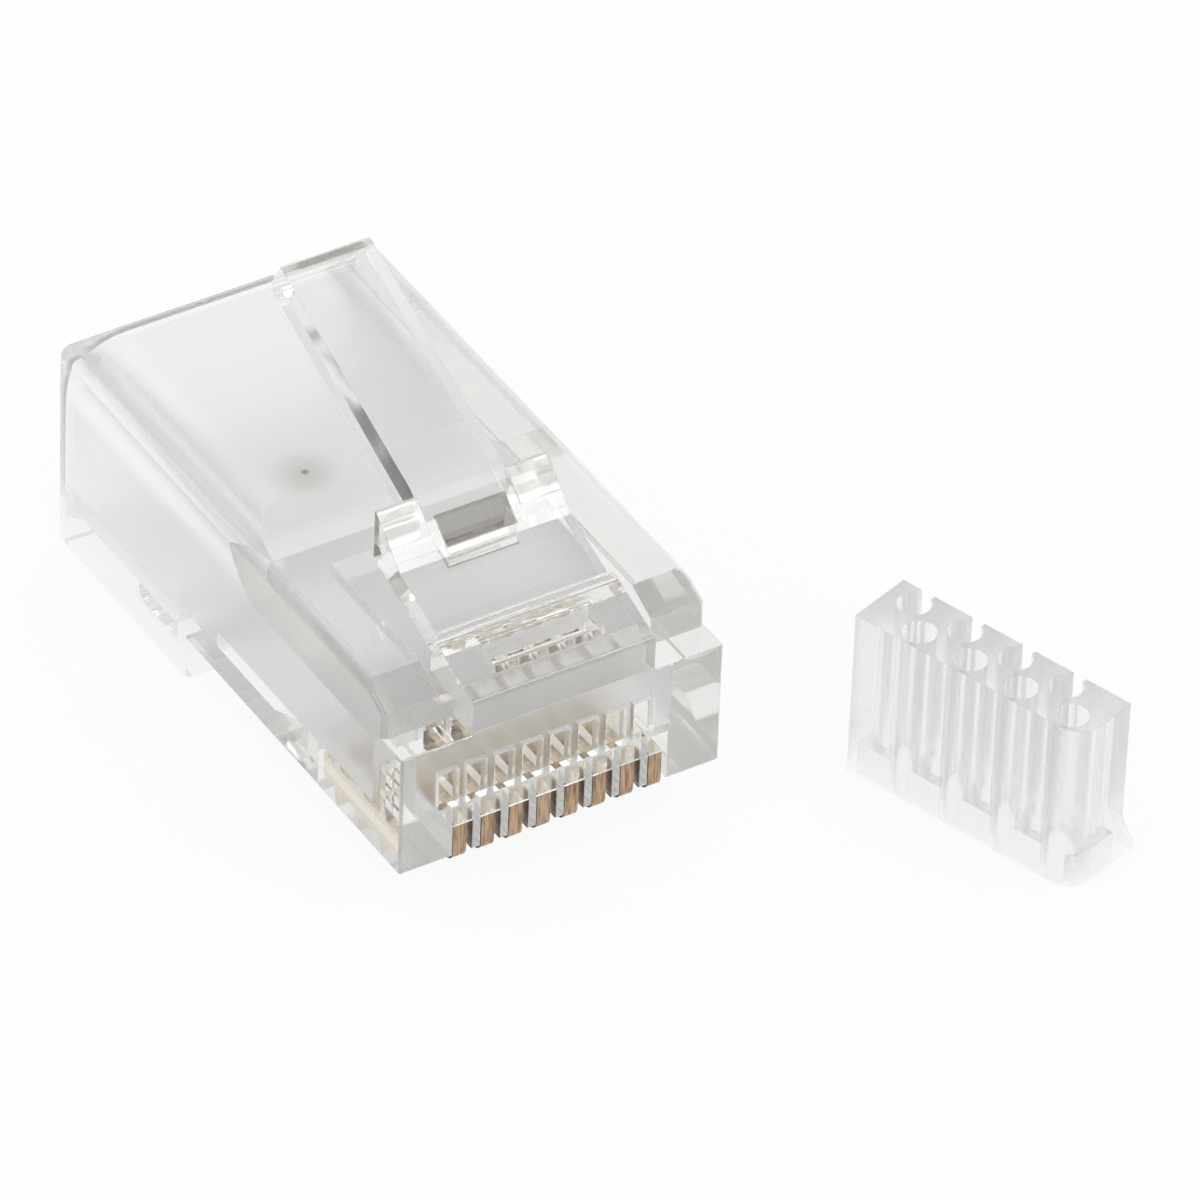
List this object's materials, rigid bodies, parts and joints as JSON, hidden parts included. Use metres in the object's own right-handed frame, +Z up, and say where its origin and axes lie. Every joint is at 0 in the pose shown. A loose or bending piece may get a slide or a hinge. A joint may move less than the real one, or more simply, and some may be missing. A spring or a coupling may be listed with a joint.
{
  "type": "modular plug",
  "caption": "Clear modular connector plug for round network cable, with gold-plated blade contacts, a locking latch, a cable clamp and a separate wire guide bar.",
  "frame": {"origin": "on the rest flat of the rear underside, between the clamp's window and the cable entry, on the plug's middle plane", "axes": "+Y from the nose towards the cable entry, +Z up towards the latch, +X across towards the side where the wire guide bar stands"},
  "size_m": [0.022, 0.0305, 0.0141],
  "materials": {
    "clear_plastic": "clear moulded polycarbonate",
    "gold_plate": "gold-plated copper alloy"
  },
  "bodies": {
    "plug_body": {"housing": "clear_plastic", "load_bar": "clear_plastic"},
    "latch": {"latch": "clear_plastic"},
    "cable_clamp": {"cable_clamp": "clear_plastic"},
    "contact_1": {"contact_1": "gold_plate"},
    "contact_2": {"contact_2": "gold_plate"},
    "contact_3": {"contact_3": "gold_plate"},
    "contact_4": {"contact_4": "gold_plate"},
    "contact_5": {"contact_5": "gold_plate"},
    "contact_6": {"contact_6": "gold_plate"},
    "contact_7": {"contact_7": "gold_plate"},
    "contact_8": {"contact_8": "gold_plate"}
  },
  "joints": [
    {"name": "latch_bend", "type": "hinge", "parent": "plug_body", "child": "latch", "pos_m": [0, -0.01682, 0.00825], "axis": [-1, 0, 0], "range_deg": [0, 17], "stiffness_Nm_per_rad": 0.02},
    {"name": "clamp_fold", "type": "hinge", "parent": "plug_body", "child": "cable_clamp", "pos_m": [0, -0.00231, 0.00048], "axis": [-1, 0, 0], "range_deg": [0, 22]},
    {"name": "crimp_1", "type": "slide", "parent": "plug_body", "child": "contact_1", "axis": [0, 0, 1], "range_m": [0, 0.00065]},
    {"name": "crimp_2", "type": "slide", "parent": "plug_body", "child": "contact_2", "axis": [0, 0, 1], "range_m": [0, 0.00065]},
    {"name": "crimp_3", "type": "slide", "parent": "plug_body", "child": "contact_3", "axis": [0, 0, 1], "range_m": [0, 0.00065]},
    {"name": "crimp_4", "type": "slide", "parent": "plug_body", "child": "contact_4", "axis": [0, 0, 1], "range_m": [0, 0.00065]},
    {"name": "crimp_5", "type": "slide", "parent": "plug_body", "child": "contact_5", "axis": [0, 0, 1], "range_m": [0, 0.00065]},
    {"name": "crimp_6", "type": "slide", "parent": "plug_body", "child": "contact_6", "axis": [0, 0, 1], "range_m": [0, 0.00065]},
    {"name": "crimp_7", "type": "slide", "parent": "plug_body", "child": "contact_7", "axis": [0, 0, 1], "range_m": [0, 0.00065]},
    {"name": "crimp_8", "type": "slide", "parent": "plug_body", "child": "contact_8", "axis": [0, 0, 1], "range_m": [0, 0.00065]}
  ],
  "couplings": [
    {"joint": "crimp_2", "follows": "crimp_1", "ratio": 1},
    {"joint": "crimp_3", "follows": "crimp_1", "ratio": 1},
    {"joint": "crimp_4", "follows": "crimp_1", "ratio": 1},
    {"joint": "crimp_5", "follows": "crimp_1", "ratio": 1},
    {"joint": "crimp_6", "follows": "crimp_1", "ratio": 1},
    {"joint": "crimp_7", "follows": "crimp_1", "ratio": 1},
    {"joint": "crimp_8", "follows": "crimp_1", "ratio": 1}
  ]
}
